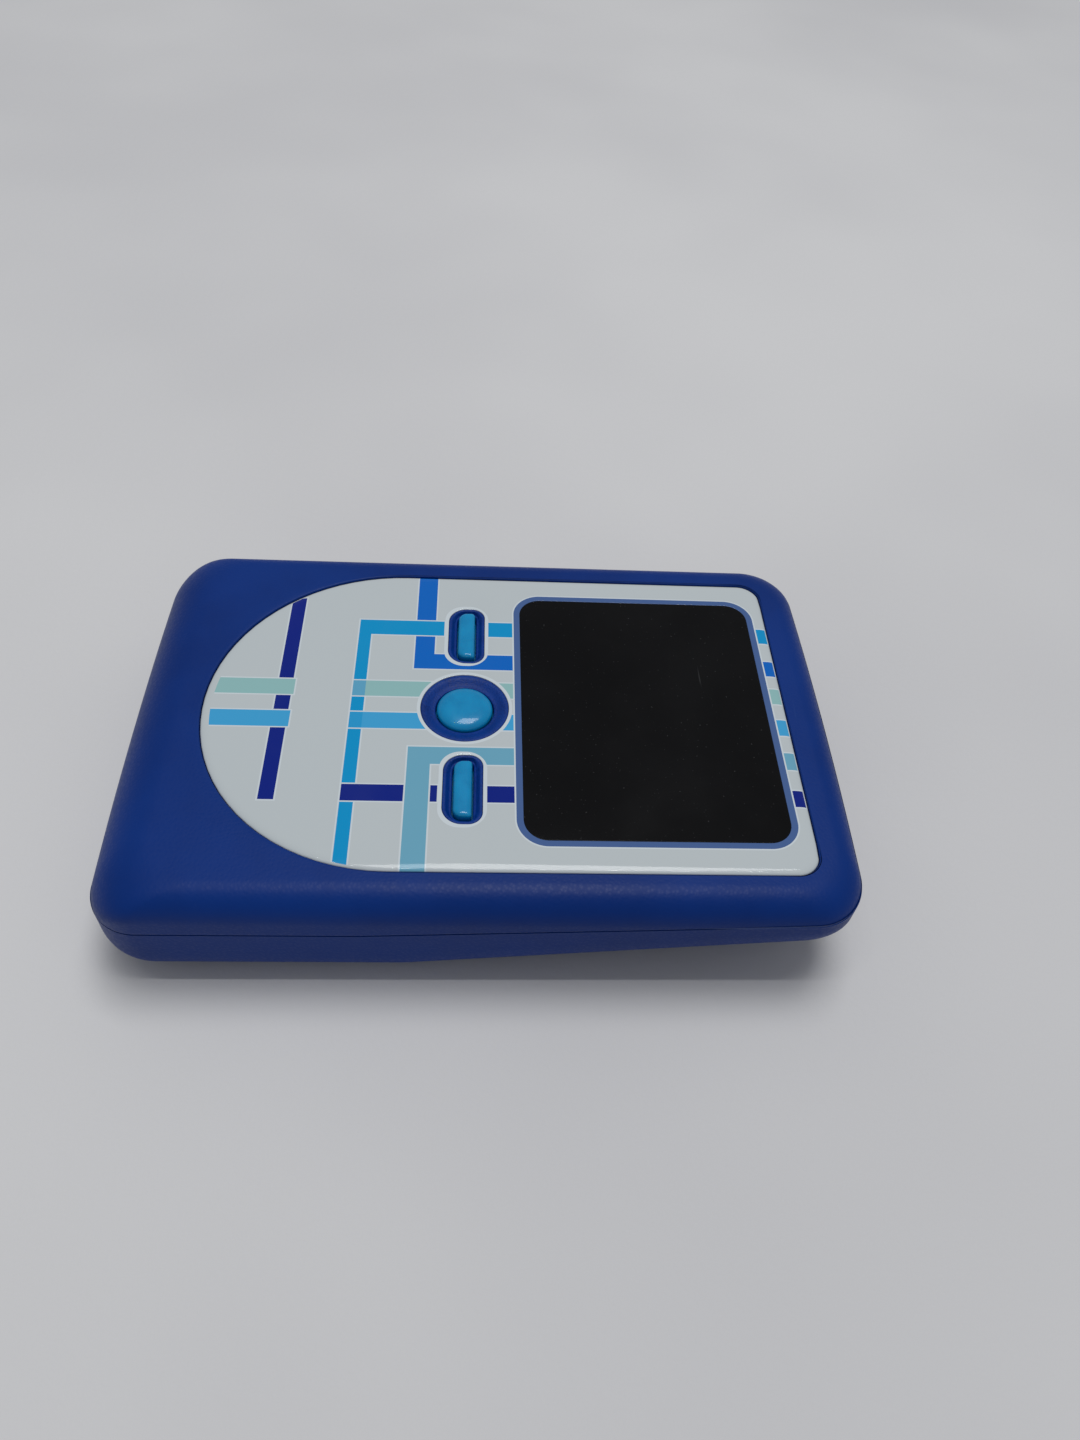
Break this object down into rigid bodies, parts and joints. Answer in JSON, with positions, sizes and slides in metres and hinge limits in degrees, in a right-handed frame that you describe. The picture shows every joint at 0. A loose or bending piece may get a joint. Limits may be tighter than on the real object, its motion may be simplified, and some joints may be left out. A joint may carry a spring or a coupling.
{
  "type": "handheld display terminal",
  "caption": "Pocket battery handheld lying on its back: blue two-part case, printed front panel, square display window, a row of keys, rear camera and sliding battery door.",
  "frame": {"origin": "under the middle of the case's box, on the surface it rests on", "axes": "+Z out of the face, +Y toward the display end, +X toward its right-hand side"},
  "size_m": [0.0604, 0.0924, 0.0176],
  "materials": {
    "case_blue": "fine spark-textured moulded plastic, deep royal blue",
    "printed_panel": "glossy panel printed off-white from behind with plain blue bands",
    "display_window": "black display window, softly glossy and a little dusty",
    "key_blue": "glossy cyan-blue moulded key",
    "grey_silicone": "soft matt silicone",
    "bright_steel": "plain stamped steel",
    "board_green": "green solder mask",
    "dark_glass": "dark polished glass",
    "black_foam": "black cellular foam",
    "amber_flex": "amber polyimide film",
    "ivory_plastic": "ivory connector plastic",
    "chip_black": "black epoxy",
    "ceramic_tan": "tan ceramic with tinned ends",
    "tray_blue": "moulded plastic, dull blue",
    "cell_wrap": "plain grey printed steel can",
    "nickel_plate": "bright nickel plate",
    "clear_window": "smoked clear plastic",
    "blank_label": "blank pale label"
  },
  "bodies": {
    "case": {"front_shell": "case_blue", "back_shell": "case_blue", "front_panel": "printed_panel", "display_window": "display_window", "keypad_mat": "grey_silicone", "snap_domes": "bright_steel", "main_board": "board_green", "display_glass": "dark_glass", "display_backlight": "bright_steel", "display_gasket": "black_foam", "display_flex": "amber_flex", "flex_connector": "ivory_plastic", "processor_chip": "chip_black", "memory_chip": "chip_black", "power_inductor": "chip_black", "board_capacitors": "ceramic_tan", "battery_tray": "tray_blue", "battery_cells": "cell_wrap", "cell_buttons": "nickel_plate", "contact_springs": "nickel_plate", "spring_plates": "nickel_plate", "positive_contacts": "nickel_plate", "camera_body": "chip_black", "camera_barrel": "chip_black", "camera_lens": "dark_glass", "camera_seal": "black_foam", "camera_window": "clear_window", "case_screws": "bright_steel", "board_screws": "bright_steel", "back_label": "blank_label"},
    "centre_button": {"centre_button": "key_blue"},
    "left_button": {"left_button": "key_blue"},
    "right_button": {"right_button": "key_blue"},
    "battery_door": {"battery_door": "case_blue"}
  },
  "joints": [
    {"name": "centre_button_press", "type": "slide", "parent": "case", "child": "centre_button", "axis": [0, 0, -1], "range_m": [0, 0.0003], "stiffness_N_per_m": 1200, "deforming": ["keypad_mat", "snap_domes"]},
    {"name": "left_button_press", "type": "slide", "parent": "case", "child": "left_button", "axis": [0, 0, -1], "range_m": [0, 0.0003], "stiffness_N_per_m": 1200, "deforming": ["keypad_mat", "snap_domes"]},
    {"name": "right_button_press", "type": "slide", "parent": "case", "child": "right_button", "axis": [0, 0, -1], "range_m": [0, 0.0003], "stiffness_N_per_m": 1200, "deforming": ["keypad_mat", "snap_domes"]},
    {"name": "battery_door_slide", "type": "slide", "parent": "case", "child": "battery_door", "axis": [0, -1, 0], "range_m": [0, 0.04]}
  ]
}
